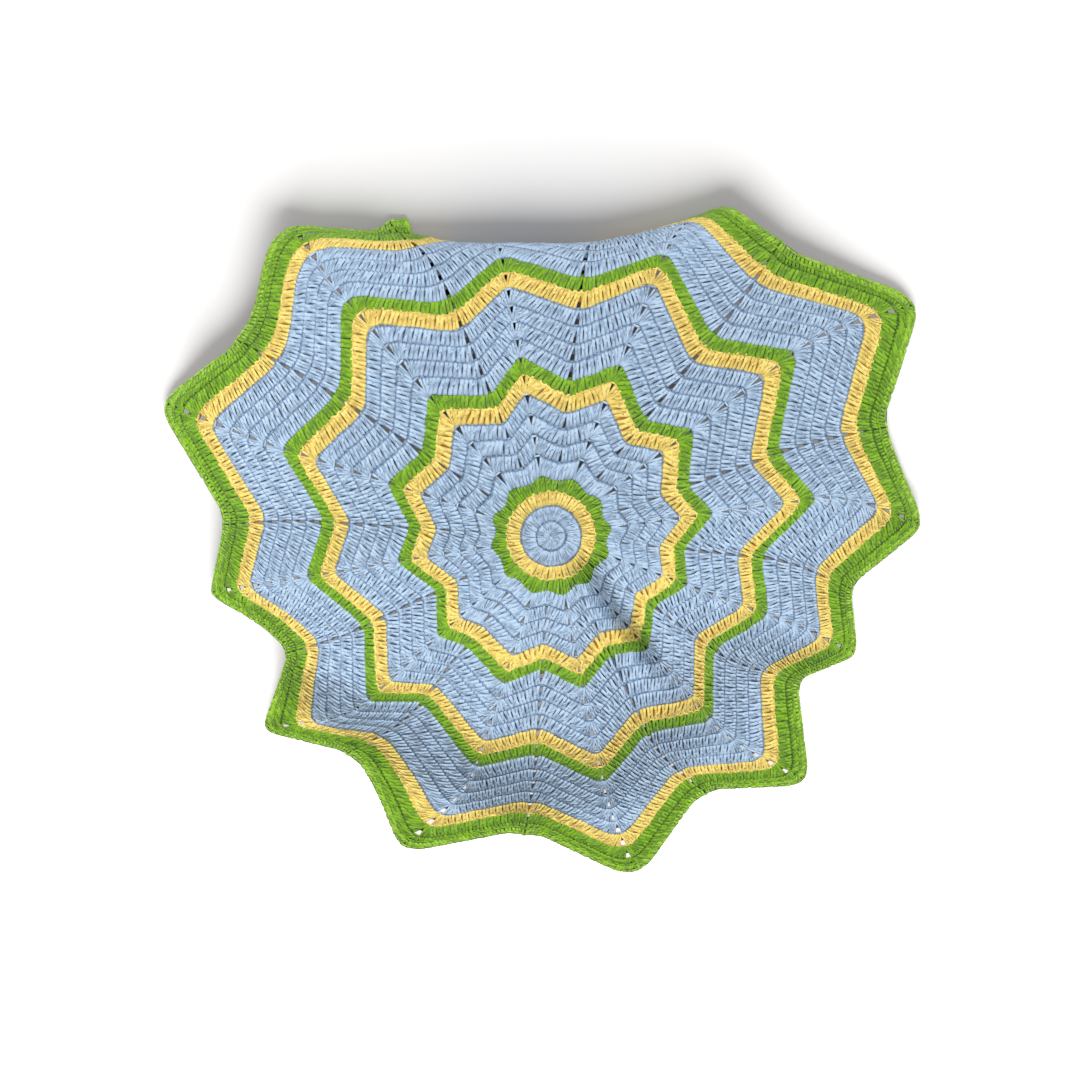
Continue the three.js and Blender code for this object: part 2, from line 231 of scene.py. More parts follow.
def risingTangents():
    tangents = np.empty_like(reachValues)
    tangents[0], tangents[-1] = reachSlopes[0], reachSlopes[-1]
    for i in (1, 2):
        before, after = 2 * reachSpans[i] + reachSpans[i - 1], reachSpans[i] + 2 * reachSpans[i - 1]
        tangents[i] = (before + after) / (before / reachSlopes[i - 1] + after / reachSlopes[i])
    return tangents


reachTangents = risingTangents()


def reachOf(turn, spoke):
    measure = roundMeasure(turn)
    i = np.clip(np.searchsorted(reachStations, measure) - 1, 0, 2)
    t = np.clip((measure - reachStations[i]) / reachSpans[i], 0, 1)
    star = hermite(
        t,
        reachSpans[i],
        reachValues[i, spoke],
        reachValues[i + 1, spoke],
        reachTangents[i, spoke],
        reachTangents[i + 1, spoke],
    )
    plain = len(discRadii) - 1
    disc = np.interp(turn, range(plain + 1), discRadii)
    lobed = discRadii[plain] + (lobeReach[spoke] - discRadii[plain]) * (turn - plain)
    return np.where(turn <= plain, disc, np.where(turn < rounds["firstLobed"], lobed, star))


def bearingOf(turn, spoke):
    out = smooth((turn - rounds["ringTwo"]) / (rounds["last"] - rounds["ringTwo"]))
    return bearing[spoke] + (edgeBearing[spoke] - bearing[spoke]) * out


def laidPlace(turn, place):
    place = place % spokeCount
    first = np.floor(place).astype(int)
    way = place - first
    second = (first + 1) % spokeCount
    onTip = first % 2 == 0
    tip, valley = np.where(onTip, first, second), np.where(onTip, second, first)
    way = np.where(onTip, way, 1 - way)
    tipAngle, valleyAngle = bearingOf(turn, tip), bearingOf(turn, valley)
    tipReach, valleyReach = reachOf(turn, tip), reachOf(turn, valley)
    outX, outY = np.cos(tipAngle), np.sin(tipAngle)
    sideX = valleyReach * np.cos(valleyAngle) - tipReach * outX
    sideY = valleyReach * np.sin(valleyAngle) - tipReach * outY
    inwards = sideX * outX + sideY * outY
    outer = np.clip((turn - rounds["ringOne"]) / (rounds["last"] - rounds["ringOne"]), 0, 1)
    corner = pointCorner["inside"] + (tipRound[tip] - pointCorner["inside"]) * outer
    radial = tipReach + inwards * easedLine(way, corner)
    x = radial * outX + (sideX - inwards * outX) * way
    y = radial * outY + (sideY - inwards * outY) * way
    # the sides of the last rounds are drawn in towards the middle
    draw = sideDraw[first] * smooth((turn - drawnFrom) / (rounds["last"] - drawnFrom))
    drawn = 1 - draw * np.sin(math.pi * way) / np.maximum(np.hypot(x, y), 1)
    x, y = x * drawn, y * drawn
    # the middle rounds are circles
    between = (valleyAngle - tipAngle + math.pi) % (2 * math.pi) - math.pi
    angle = tipAngle + between * way
    radius = tipReach + (valleyReach - tipReach) * easedLine(way, lobe["ease"])
    star = np.clip(turn - rounds["firstLobed"], 0, 1)
    return (
        radius * np.cos(angle) * (1 - star) + x * star,
        radius * np.sin(angle) * (1 - star) + y * star,
    )


def tableCurve(x, stations, values):
    # a smooth line through a table's values
    slopes = np.empty_like(values)
    slopes[1:-1] = (values[2:] - values[:-2]) / (stations[2:] - stations[:-2])
    slopes[0] = (values[1] - values[0]) / (stations[1] - stations[0])
    slopes[-1] = (values[-1] - values[-2]) / (stations[-1] - stations[-2])
    i = np.clip(np.searchsorted(stations, x) - 1, 0, len(values) - 2)
    span = stations[i + 1] - stations[i]
    t = np.clip((x - stations[i]) / span, 0, 1)
    return hermite(t, span, values[i], values[i + 1], slopes[i], slopes[i + 1])


def nearSwell(x, y):
    # the swell's table runs the short way round, so the far left is counted down from 0
    around = np.degrees(np.arctan2(y, x))
    around = np.where(around > 90, around - 360, around)
    reach = tableCurve(around, swellBearing, swellReach)
    away = np.hypot(x, y) - reach
    outside = tableCurve(around, swellBearing, swellOutside)
    inside = np.minimum(swellInside, reach - swellClear)
    top = np.maximum(0, tableCurve(around, swellBearing, swellTop))
    return top * bell(away / np.where(away < 0, inside, outside))


def laidHeight(x, y):
    line = tableCurve(x, crestAcross, crestLine)
    top = np.maximum(0, tableCurve(x, crestAcross, crestTop))
    height = top * easedLine((y - ramp["start"]) / (line - ramp["before"] - ramp["start"]), ramp["ease"])
    height = height + nearSwell(x, y) + mound["height"] * bell(np.hypot(x, y) / mound["reach"])
    for atX, atY, wide, deep, rise in lifts.values():
        height = height + rise * bell(np.hypot((x - atX) / wide, (y - atY) / deep))
    runX, runY = trough["toX"] - trough["fromX"], trough["toY"] - trough["fromY"]
    length = math.hypot(runX, runY)
    runX, runY = runX / length, runY / length
    along = ((x - trough["fromX"]) * runX + (y - trough["fromY"]) * runY) / length
    sway = trough["sway"] * np.sin(2 * math.pi * np.clip(along, 0, 1))
    aside = (y - trough["fromY"]) * runX - (x - trough["fromX"]) * runY + sway
    swell = bell((along - troughSwell["at"]) / troughSwell["length"]) * bell(aside / troughSwell["width"])
    height = height + troughSwell["height"] * swell
    carved = bell(aside / trough["width"])
    carved = carved * smooth((along - troughEnds["start"]) / troughEnds["startEase"])
    carved = carved * smooth((troughEnds["end"] - along) / troughEnds["endEase"])
    height = height - np.minimum(trough["depth"], height) * carved
    clear = np.maximum(0, height - settled["under"])
    return clear * clear / (clear + settled["over"])


def rollAngle(length):
    angle = np.zeros_like(length)
    for stretch, turn in roll["stretches"]:
        angle = angle + turn * np.clip(length / stretch, 0, 1)
        length = length - stretch
    return angle


def pastCrest(length, top, steepest):
    # how far back a length of cloth past the crest reaches, and how high it lies there
    sharp = roll["sharpness"]
    size = np.clip(top / roll["height"], roll["smallest"], 1)
    step = length / roll["steps"]
    forwards, height = np.zeros_like(length), top.copy()
    for i in range(roll["steps"]):
        free = np.maximum(rollAngle((i + 0.5) * step / size), 1e-6)
        angle = (free**-sharp + steepest**-sharp) ** (-1 / sharp)
        outwards = angle * smooth((height + roll["landing"]) / roll["landOutwards"])
        under = 180 - (180 - angle) * smooth((height + roll["landing"]) / roll["landUnder"])
        tucked = smooth((angle - roll["turnsOut"]) / (roll["turnsUnder"] - roll["turnsOut"]))
        angle = np.radians(outwards + (under - outwards) * tucked)
        forwards += np.cos(angle) * step
        height = np.maximum(0, height - np.sin(angle) * step)
    return forwards, height


halfThick = 2.0  # the cloth's middle lies this far above what its underside rests on


def clothPoint(turn, place):
    turn, place = np.broadcast_arrays(np.asarray(turn, float), np.asarray(place, float))
    shape = turn.shape
    x, y = laidPlace(turn.ravel(), place.ravel())
    line = tableCurve(x, crestAcross, crestLine)
    height = laidHeight(x, np.minimum(y, line))
    past = np.nonzero(y > line)[0]
    steepest = np.interp(x[past], crestAcross, crestSteep)
    forwards, low = pastCrest(y[past] - line[past], height[past], steepest)
    height[past] = low
    y = y.copy()
    y[past] = line[past] + forwards
    return np.stack([x, y, height + halfThick], -1).reshape(*shape, 3)


def clothFrame(turn, place):
    # a point of the cloth's middle and the direction square to it
    near = 0.04
    point = clothPoint(turn, place)
    out = clothPoint(turn + near, place) - clothPoint(turn - near, place)
    around = clothPoint(turn, place + near) - clothPoint(turn, place - near)
    normal = np.cross(around, out)
    normal /= np.maximum(np.linalg.norm(normal, axis=-1, keepdims=True), 1e-9)
    return point, normal


def sideLengths(turn):
    # length of each side of a round, from point to valley, laid flat
    corners = np.stack(laidPlace(np.full(spokeCount, float(turn)), np.arange(spokeCount, dtype=float)), -1)
    return np.linalg.norm(np.roll(corners, -1, 0) - corners, axis=1)


print("drape ready")


def setInputs(node, levels):
    for socket, level in levels.items():
        node.inputs[socket].default_value = level


def mathNode(nodes, links, operation, *values):
    node = nodes.new("ShaderNodeMath")
    node.operation = operation
    for socket, value in zip(node.inputs, values):
        if isinstance(value, (int, float)):
            socket.default_value = value
        else:
            links.new(value, socket)
    return node.outputs[0]


def vectorNode(nodes, links, operation, given):
    node = nodes.new("ShaderNodeVectorMath")
    node.operation = operation
    links.new(given, node.inputs[0])
    return node


def mixColour(nodes, links, factor, first, second):
    node = nodes.new("ShaderNodeMix")
    node.data_type = "RGBA"
    for socket, value in ((0, factor), (6, first), (7, second)):
        links.new(value, node.inputs[socket])
    return node.outputs[2]


yarnLook = {
    "cells": 4,  # the yarn's own map holds four by four stretches of yarn, each a little different
    "cellMargin": 0.05,
    "plies": 2,
    "turnsPerMap": 0.8,
    "plySharpness": 0.8,
    "startSpread": 6.0,  # how unlike the plies' starts are from stretch to stretch
    "fibres": {"slant": 1.1, "around": 26.0, "along": 9.0, "spread": 40.0},
    "fibreNoise": {"Scale": 1.0, "Detail": 3.0},
    "shade": {"ply": 0.8, "fibre": 0.35},  # how much each lightens the yarn
    "fibreHeight": 0.45,
    "roughness": {"least": 0.78, "fibre": 0.2},
    # painted shade: darker down a strand's sides, and towards its ends where it goes under
    "paintedSideShade": {"From Min": 0.18, "From Max": 0.4, "To Max": 0.75},
    "paintedEndShade": {"From Min": 0.34, "From Max": 0.47, "To Max": 0.9},
    "variation": 0.35,
    "bump": {"Strength": 0.9, "Distance": 0.0007},
    "shader": {"Specular IOR Level": 0.25, "Sheen Weight": 0.25, "Sheen Roughness": 0.5},
}
yarnParts = ("Colour", "Painted Shade Colour", "Painted End Shade Colour", "Tint")


def fadeNode(nodes, links, given, fade):
    node = nodes.new("ShaderNodeMapRange")
    node.interpolation_type = "SMOOTHSTEP"
    setInputs(node, fade)
    links.new(given, node.inputs["Value"])
    return node.outputs[0]


def yarnGroup():
    colour, value = "NodeSocketColor", "NodeSocketFloat"
    margin = yarnLook["cellMargin"]
    inner = 1 - 2 * margin
    group = bpy.data.node_groups.new("yarnTwist", "ShaderNodeTree")
    inputs = [("Yarn Map", "NodeSocketVector"), *((part, colour) for part in yarnParts), ("Variation", value)]
    for name, kind in inputs:
        group.interface.new_socket(name, in_out="INPUT", socket_type=kind)
    for name, kind in (("Colour", colour), ("Height", value), ("Roughness", value)):
        group.interface.new_socket(name, in_out="OUTPUT", socket_type=kind)
    nodes, links = group.nodes, group.links
    given, result = nodes.new("NodeGroupInput"), nodes.new("NodeGroupOutput")
    scaled = vectorNode(nodes, links, "SCALE", given.outputs["Yarn Map"])
    scaled.inputs["Scale"].default_value = yarnLook["cells"]
    cell = vectorNode(nodes, links, "FLOOR", scaled.outputs[0])
    inside = vectorNode(nodes, links, "FRACTION", scaled.outputs[0])
    split = nodes.new("ShaderNodeSeparateXYZ")
    links.new(inside.outputs[0], split.inputs[0])
    chance = nodes.new("ShaderNodeTexWhiteNoise")
    chance.noise_dimensions = "2D"
    links.new(cell.outputs[0], chance.inputs["Vector"])

    def maths(operation, *values):
        return mathNode(nodes, links, operation, *values)

    along = maths("MULTIPLY_ADD", split.outputs[0], 1 / inner, -margin / inner)
    around = maths("MULTIPLY_ADD", split.outputs[1], 1 / inner, -margin / inner)

    # plies wound round the strand, with painted shade between them
    turns = maths("MULTIPLY", along, yarnLook["turnsPerMap"] * 2 * math.pi)
    phase = maths("MULTIPLY_ADD", around, yarnLook["plies"] * 2 * math.pi, turns)
    phase = maths("MULTIPLY_ADD", chance.outputs["Value"], yarnLook["startSpread"], phase)
    ply = maths("ABSOLUTE", maths("SINE", maths("MULTIPLY", phase, 0.5)))
    plyRound = maths("POWER", ply, yarnLook["plySharpness"])

    # loose fibres drawn out along the plies
    fibreLook = yarnLook["fibres"]
    fibrePlace = nodes.new("ShaderNodeCombineXYZ")
    slanted = maths("MULTIPLY_ADD", along, fibreLook["slant"], around)
    links.new(maths("MULTIPLY", slanted, fibreLook["around"]), fibrePlace.inputs[0])
    links.new(maths("MULTIPLY", along, fibreLook["along"]), fibrePlace.inputs[1])
    links.new(maths("MULTIPLY", chance.outputs["Value"], fibreLook["spread"]), fibrePlace.inputs[2])
    noise = nodes.new("ShaderNodeTexNoise")
    setInputs(noise, yarnLook["fibreNoise"])
    links.new(fibrePlace.outputs[0], noise.inputs["Vector"])
    fibres = noise.outputs["Fac"]

    fibreShade = maths("MULTIPLY", fibres, yarnLook["shade"]["fibre"])
    shade = maths("MULTIPLY_ADD", plyRound, yarnLook["shade"]["ply"], fibreShade)
    body = mixColour(nodes, links, shade, given.outputs["Painted Shade Colour"], given.outputs["Colour"])
    tintShare = maths("MULTIPLY", chance.outputs["Value"], given.outputs["Variation"])
    body = mixColour(nodes, links, tintShare, body, given.outputs["Tint"])
    # painted shade down the strand's sides, away from its top
    aside = maths("ABSOLUTE", maths("SUBTRACT", around, 0.5))
    paintedSideShade = fadeNode(nodes, links, aside, yarnLook["paintedSideShade"])
    body = mixColour(nodes, links, paintedSideShade, body, given.outputs["Painted Shade Colour"])
    # painted shade towards the strand's ends, where it goes under
    endwards = maths("ABSOLUTE", maths("SUBTRACT", along, 0.5))
    paintedEndShade = fadeNode(nodes, links, endwards, yarnLook["paintedEndShade"])
    body = mixColour(nodes, links, paintedEndShade, body, given.outputs["Painted End Shade Colour"])
    links.new(body, result.inputs["Colour"])
    links.new(maths("MULTIPLY_ADD", fibres, yarnLook["fibreHeight"], plyRound), result.inputs["Height"])
    rough = yarnLook["roughness"]
    links.new(maths("MULTIPLY_ADD", fibres, rough["fibre"], rough["least"]), result.inputs["Roughness"])
    return group


yarnTwist = yarnGroup()


def srgb(red, green, blue):
    def linear(level):
        level /= 255
        return level / 12.92 if level <= 0.04045 else ((level + 0.055) / 1.055) ** 2.4

    return linear(red), linear(green), linear(blue), 1.0


# Each yarn's colour on its plies, its painted shade between them and down the sides, its painted shade where
# it goes under at the ends, the one that some strands lean towards, and the cloth's colour between its
# stitches, darkened as painted shade
yarnTable = {
    "blue": ((187, 214, 241), (119, 147, 181), (84, 108, 142), (204, 222, 240), (108, 124, 152)),
    "yellow": ((252, 229, 124), (224, 175, 60), (188, 130, 34), (255, 240, 160), (206, 150, 54)),
    "green": ((132, 182, 30), (62, 112, 8), (32, 68, 4), (160, 206, 76), (62, 106, 16)),
    # a lighter green for the last round's loops, as a painted highlight where they catch the light
    "paintedHighlightGreen": ((156, 204, 52), (88, 140, 18), (40, 80, 6), (182, 220, 102), (62, 106, 16)),
}
# the cloth takes each yarn's last, darker colour, as painted shade between the stitches
shadedGroundColours = {name: srgb(*levels[-1]) for name, levels in yarnTable.items()}


def newMaterial(name, levels):
    material = bpy.data.materials.new(name)
    material.use_nodes = True
    nodes, links = material.node_tree.nodes, material.node_tree.links
    shader = nodes["Principled BSDF"]
    setInputs(shader, levels)
    return material, nodes, links, shader


def meshMap(nodes):
    node = nodes.new("ShaderNodeUVMap")
    node.uv_map = "OFBake"
    return node.outputs[0]


def addBump(nodes, links, shader, height, levels):
    bump = nodes.new("ShaderNodeBump")
    setInputs(bump, levels)
    links.new(height, bump.inputs["Height"])
    links.new(bump.outputs[0], shader.inputs["Normal"])


def yarnMaterial(name, levels):
    material, nodes, links, shader = newMaterial(name, yarnLook["shader"])
    twist = nodes.new("ShaderNodeGroup")
    twist.node_tree = yarnTwist
    setInputs(twist, {part: srgb(*level) for part, level in zip(yarnParts, levels)})
    setInputs(twist, {"Variation": yarnLook["variation"]})
    links.new(meshMap(nodes), twist.inputs["Yarn Map"])
    addBump(nodes, links, shader, twist.outputs["Height"], yarnLook["bump"])
    links.new(twist.outputs["Colour"], shader.inputs["Base Color"])
    links.new(twist.outputs["Roughness"], shader.inputs["Roughness"])
    return material


yarnMaterials = {name: yarnMaterial(name + "Yarn", levels[:-1]) for name, levels in yarnTable.items()}

# which colour each round is worked in, from the middle
roundColours = ["blue"] * 2 + ["yellow", "green"]
for _ in range(3):
    roundColours += ["blue"] * 4 + ["yellow", "green"]
# the last round takes the lighter green, a painted highlight on the edge loops
roundColours += ["green", "paintedHighlightGreen"]

# the cloth behind the stitches, darker than the yarn as painted shade in the gaps between them
clothLook = {
    "shader": {"Roughness": 0.9, "Specular IOR Level": 0.2},
    "noise": {"Scale": 220.0, "Detail": 2.0},
    "bump": {"Distance": 0.0005},
}


def clothMaterial():
    # each round in its yarn's colour darkened as painted shade, a little uneven
    material, nodes, links, shader = newMaterial("shadedCrochetBack", clothLook["shader"])
    clothMap = meshMap(nodes)
    split = nodes.new("ShaderNodeSeparateXYZ")
    links.new(clothMap, split.inputs[0])
    stripes = nodes.new("ShaderNodeValToRGB")
    stripes.color_ramp.interpolation = "CONSTANT"
    links.new(split.outputs[0], stripes.inputs[0])
    stops = stripes.color_ramp.elements
    last = None
    for turn, name in enumerate(roundColours):
        if name == last:
            continue
        at = turn / rounds["last"]
        stop = stops[0] if last is None else stops.new(at)
        stop.position = at
        stop.color = shadedGroundColours[name]
        last = name
    stops.remove(stops[-1])
    links.new(stripes.outputs[0], shader.inputs["Base Color"])
    backs = nodes.new("ShaderNodeTexNoise")
    setInputs(backs, clothLook["noise"])
    links.new(clothMap, backs.inputs["Vector"])
    addBump(nodes, links, shader, backs.outputs["Fac"], clothLook["bump"])
    return material


shadedCrochetBack = clothMaterial()
print("materials ready")


def meshPiece(name, vertices, faceSets, material, mapSets):
    # faceSets and mapSets hold one array for each number of sides
    mesh = bpy.data.meshes.new(name)
    mesh.vertices.add(len(vertices))
    mesh.vertices.foreach_set("co", (vertices * mm).astype(np.float32).ravel())
    corners = np.concatenate([faces.ravel() for faces in faceSets]).astype(np.int32)
    sides = np.concatenate([np.full(len(faces), faces.shape[1]) for faces in faceSets])
    starts = np.concatenate([[0], np.cumsum(sides)[:-1]]).astype(np.int32)
    mesh.loops.add(len(corners))
    mesh.loops.foreach_set("vertex_index", corners)
    mesh.polygons.add(len(sides))
    mesh.polygons.foreach_set("loop_start", starts)
    mesh.update(calc_edges=True)
    mesh.validate()
    mesh.shade_smooth()
    layer = mesh.uv_layers.new(name="OFBake")
    layer.data.foreach_set("uv", np.concatenate([uv.ravel() for uv in mapSets]).astype(np.float32))
    mesh.materials.append(material)
    piece = bpy.data.objects.new(name, mesh)
    bpy.context.collection.objects.link(piece)
    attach(piece, "root")
    return piece


# The cloth behind the stitches, with the holes at the points and valleys
openRounds = {20, 21, 22}  # rounds with a larger hole at their points
cloth = {
    "firstRow": 0.5,  # its first row lies at this round, and the next at the first station past nextPast
    "nextPast": 0.6,
    "top": -0.5,  # height of its face and its underside from the cloth's middle
    "under": -2.0,
    "stations": [0.04, 0.42, 0.56, 0.92],  # where each round is divided
    "valleyHole": 0,  # the hole at the foot of a valley lies past this station
    "tipHole": 2,  # and the hole at the head of a point past this one
    "valleyHalf": [3.2, 1.9, 1.3, 1.3],  # half a hole's width at each station, in mm
    "tipHalf": [1.3, 1.3, 1.6, 2.6],
    "widest": 0.25,  # the most that half a hole takes of a side
    "openShare": 1.3,  # how much wider the holes at the points are in the last rounds
    "between": 4,  # columns between spokes
}


def clothGrid():
    stations = [(turn + at, i) for turn in range(rounds["last"]) for i, at in enumerate(cloth["stations"])]
    stations = [(turn, i) for turn, i in stations if turn > cloth["nextPast"]]
    stations = [(cloth["firstRow"], 0)] + stations + [(rounds["last"], len(cloth["stations"]) - 1)]
    turns = np.array([turn for turn, _ in stations], float)
    lengths = np.array([sideLengths(max(1.0, round(float(turn), 2))).mean() for turn in turns])
    tipHalf = np.array([cloth["tipHalf"][i] for _, i in stations])
    tipHalf[turns > min(openRounds) - 1] *= cloth["openShare"]
    valleyHalf = np.array([cloth["valleyHalf"][i] for _, i in stations])
    tipHalf, valleyHalf = (np.minimum(cloth["widest"], half / lengths) for half in (tipHalf, valleyHalf))
    columns = []
    for spoke in range(spokeCount):
        here, there = (tipHalf, valleyHalf) if spoke % 2 == 0 else (valleyHalf, tipHalf)
        columns.append(spoke + here)
        for i in range(1, cloth["between"] + 1):
            columns.append(spoke + here + (1 - here - there) * i / (cloth["between"] + 1))
        columns.append(spoke + 1 - there)
    place = np.stack(columns, 1)
    return np.repeat(turns[:, None], place.shape[1], 1), place


def holeCells(turns, perSpoke):
    # the cell of each hole, as row and column
    cells = []
    for turn in range(rounds["firstLobed"] + 1, rounds["lastTreble"] + 1):
        firstRow = np.searchsorted(turns[:, 0], turn - 1)
        for spoke in range(spokeCount):
            row = firstRow + (cloth["tipHole"] if spoke % 2 == 0 else cloth["valleyHole"])
            cells.append((row, (spoke * perSpoke - 1) % (spokeCount * perSpoke)))
    return cells


justOffMiddle = 0.01  # the round taken for the middle itself


def buildCloth():
    turns, place = clothGrid()
    rows, columns = turns.shape
    perSpoke = columns // spokeCount
    holes = np.zeros((rows - 1, columns), bool)
    for row, column in holeCells(turns, perSpoke):
        holes[row, column] = True
    point, normal = clothFrame(turns, place)
    index = np.arange(rows * columns).reshape(rows, columns)
    right = np.roll(index, -1, 1)
    quads = np.stack([index[:-1], right[:-1], right[1:], index[1:]], -1)
    kept = quads[~holes]
    count = rows * columns
    # close the middle with quads to one vertex there
    middlePoint, middleNormal = clothFrame(np.array([justOffMiddle]), np.array([0.0]))
    middleNormal[:] = (0, 0, 1)
    even = np.arange(0, columns, 2)
    middle, ring = np.full(len(even), count), index[0]
    fan = np.stack([middle, ring[(even + 2) % columns], ring[even + 1], ring[even]], -1)
    points = np.concatenate([point.reshape(-1, 3), middlePoint])
    normals = np.concatenate([normal.reshape(-1, 3), middleNormal])
    face = points + normals * cloth["top"]
    under = points + normals * cloth["under"]
    under[:, 2] = np.maximum(under[:, 2], 0)
    layer = len(points)

    def faced(quads):
        facing = np.cross(face[quads[:, 2]] - face[quads[:, 0]], face[quads[:, 3]] - face[quads[:, 1]])
        wrong = (facing * normals[quads[:, 1]]).sum() < 0
        return quads[:, ::-1] if wrong else quads

    kept = np.concatenate([faced(kept), faced(fan)])
    # walls around the edge and the holes
    edges = np.concatenate([kept[:, [i, (i + 1) % 4]] for i in range(4)])
    key = np.sort(edges, 1)
    _, first, times = np.unique(key[:, 0] * layer + key[:, 1], return_index=True, return_counts=True)
    rim = edges[first[times == 1]]
    walls = np.stack([rim[:, 1], rim[:, 0], rim[:, 0] + layer, rim[:, 1] + layer], -1)
    faces = np.concatenate([kept, kept[:, ::-1] + layer, walls])
    mapU = np.concatenate([turns.ravel() / rounds["last"], [0.0]])
    mapV = np.concatenate([(place.ravel() / spokeCount) % 1.0, [0.0]])
    uv = np.tile(np.stack([mapU, mapV], -1), (2, 1))
    corners = uv[faces].copy()
    # the seam where the map wraps round
    wrap = corners[:, :, 1].max(1) - corners[:, :, 1].min(1) > 0.5
    wrapped = corners[wrap]
    wrapped[:, :, 1] = np.where(wrapped[:, :, 1] < 0.5, wrapped[:, :, 1] + 1, wrapped[:, :, 1])
    corners[wrap] = wrapped
    return np.concatenate([face, under]), faces, corners


clothVertices, clothFaces, clothMapCorners = buildCloth()
# the cloth's middle goes where the solid's is
clothMiddle = (clothVertices.min(0) + clothVertices.max(0)) / 2
cadMiddle = (np.array(cadLow) + np.array(cadHigh)) / 2 / mm
shift = (cadMiddle - clothMiddle) * (1, 1, 0)
print("cloth", len(clothFaces), "faces, moved", shift.round(2))
clothPiece = meshPiece("blanketCloth", clothVertices + shift, [clothFaces], shadedCrochetBack, [clothMapCorners])

# Each strand of a stitch as points: across it in stitch widths, up it in rounds, and out in mm
plainTop = {
    "frontLoop": [(-0.6, 1.0, -0.1), (-0.28, 0.97, 0.45), (0.14, 0.97, 0.55), (0.5, 1.0, 0.0)],
}
# a top whose loops are drawn out between the stitches of the next round
spikedTop = {
    "frontLoop": [(-0.55, 1.1, 0.8), (-0.24, 0.95, 1.0), (0.2, 0.94, 1.1), (0.5, 1.11, 0.9)],
}
# the ends that the legs of a treble share
leftTop = [(-0.25, 0.88, 1.05), (-0.26, 0.97, -0.2)]
rightTop = [(0.25, 0.88, 1.05), (0.26, 0.97, -0.2)]
post = {
    "leftLeg": [(-0.25, 0.02, -0.9), (-0.26, 0.1, 0.9), (-0.22, 0.34, 1.15), (-0.21, 0.62, 1.15), *leftTop],
    "rightLeg": [(0.25, 0.02, -0.9), (0.26, 0.1, 0.9), (0.23, 0.34, 1.05), (0.22, 0.62, 1.2), *rightTop],
    "wrap": [(-0.34, 0.38, -0.2), (-0.17, 0.48, 1.9), (0.14, 0.66, 1.95), (0.34, 0.78, -0.2)],
}
# feet that reach over the round before, side by side as in a comb
combPost = {
    **post,
    "leftLeg": [(-0.23, -0.14, -0.3), (-0.24, -0.04, 1.9), (-0.23, 0.2, 1.6), (-0.21, 0.55, 1.15), *leftTop],
    "rightLeg": [(0.24, -0.13, -0.3), (0.25, -0.03, 1.8), (0.24, 0.2, 1.5), (0.22, 0.55, 1.15), *rightTop],
}
# feet drawn together between the loops of the round before
drawnPost = {
    **post,
    "leftLeg": [(-0.15, -0.04, -0.6), (-0.18, 0.06, 0.9), (-0.24, 0.28, 1.2), (-0.22, 0.6, 1.1), *leftTop],
    "rightLeg": [(0.16, -0.04, -0.6), (0.2, 0.06, 0.8), (0.25, 0.28, 1.1), (0.23, 0.6, 1.1), *rightTop],
}
treble = {
    "width": 7.0,
    "radius": 1.86,
    "thickEnds": 0.17,  # how much thicker a leg is at its ends, and slimmer in the middle
    "lean": 0.22,  # how far a stitch's head lies to one side of its foot, in stitch widths
    "flat": 0.78,  # how much a strand is pressed flat
    "fill": (0.7, 1.35),  # how much thinner or thicker a strand may get to fill its place
    "filledBelow": 0.4,  # measured this far below its head, in rounds
    "pieces": {"leftLeg": 5, "rightLeg": 5, "wrap": 3, "frontLoop": 3},
    "slim": {"wrap": 0.6, "frontLoop": 0.8},
    # the part of the yarn's map that a strand shows: a plain front loop shows only the map's end, which is
    # painted darkest, as painted shade along the row line
    "stretch": {"wrap": (0.25, 0.75), "frontLoop": (0.0, 0.12)},
}
lowStitch = {
    "radius": 1.75,
    "thickEnds": 0,
    "lean": 0.2,
    "flat": 0.78,
    "strands": {
        "leftLeg": [(-0.23, 0.02, -0.9), (-0.25, 0.2, 1.0), (-0.24, 0.52, 1.2), (-0.2, 0.86, 0.2)],
        "rightLeg": [(0.23, 0.02, -0.9), (0.25, 0.2, 0.9), (0.25, 0.52, 1.1), (0.22, 0.86, 0.2)],
        "frontLoop": [(-0.62, 1.02, 0.2), (-0.25, 0.92, 1.4), (0.15, 0.94, 1.5), (0.56, 1.06, 0.3)],
    },
    "pieces": {"leftLeg": 3, "rightLeg": 3, "frontLoop": 3},
    "slim": {"frontLoop": 0.85},
    "stretch": {"leftLeg": (0.0, 0.9), "rightLeg": (0.0, 0.9), "frontLoop": (0.25, 0.75)},
}
chainStitch = {
    "radius": 1.5,
    "thickEnds": 0,
    "lean": 0,
    "flat": 0.85,
    "strands": {
        "frontLoop": [(-0.62, 0.99, 0.1), (-0.25, 0.94, 0.9), (0.15, 0.94, 1.0), (0.58, 0.99, 0.2)],
        "backLoop": [(-0.58, 1.03, -0.3), (-0.2, 1.08, 0.1), (0.2, 1.07, 0.1), (0.6, 1.03, -0.3)],
    },
    "pieces": {"frontLoop": 4, "backLoop": 3},
    "slim": {},
    "stretch": {"frontLoop": (0.3, 0.7), "backLoop": (0.2, 0.6)},
}
combRounds = {5, 11, 17}
drawnRounds = {4, 10, 16, 22}
spikedRounds = {turn - 1 for turn in drawnRounds}
closeRounds = {3, 4, 5, 6, 7, 8, 10, 16, 22}  # worked so close that no gaps show
close = {"radius": 2.02, "thickEnds": 0.03}


def stitchKind(turn):
    if turn > rounds["lastTreble"]:
        return lowStitch
    feet = combPost if turn in combRounds else drawnPost if turn in drawnRounds else post
    top = spikedTop if turn in spikedRounds else plainTop
    kind = {**treble, "strands": {**feet, **top}}
    if turn in spikedRounds:
        kind["stretch"] = {**treble["stretch"], "frontLoop": (0.3, 0.7)}
    if turn in closeRounds:
        kind.update(close)
    return kind


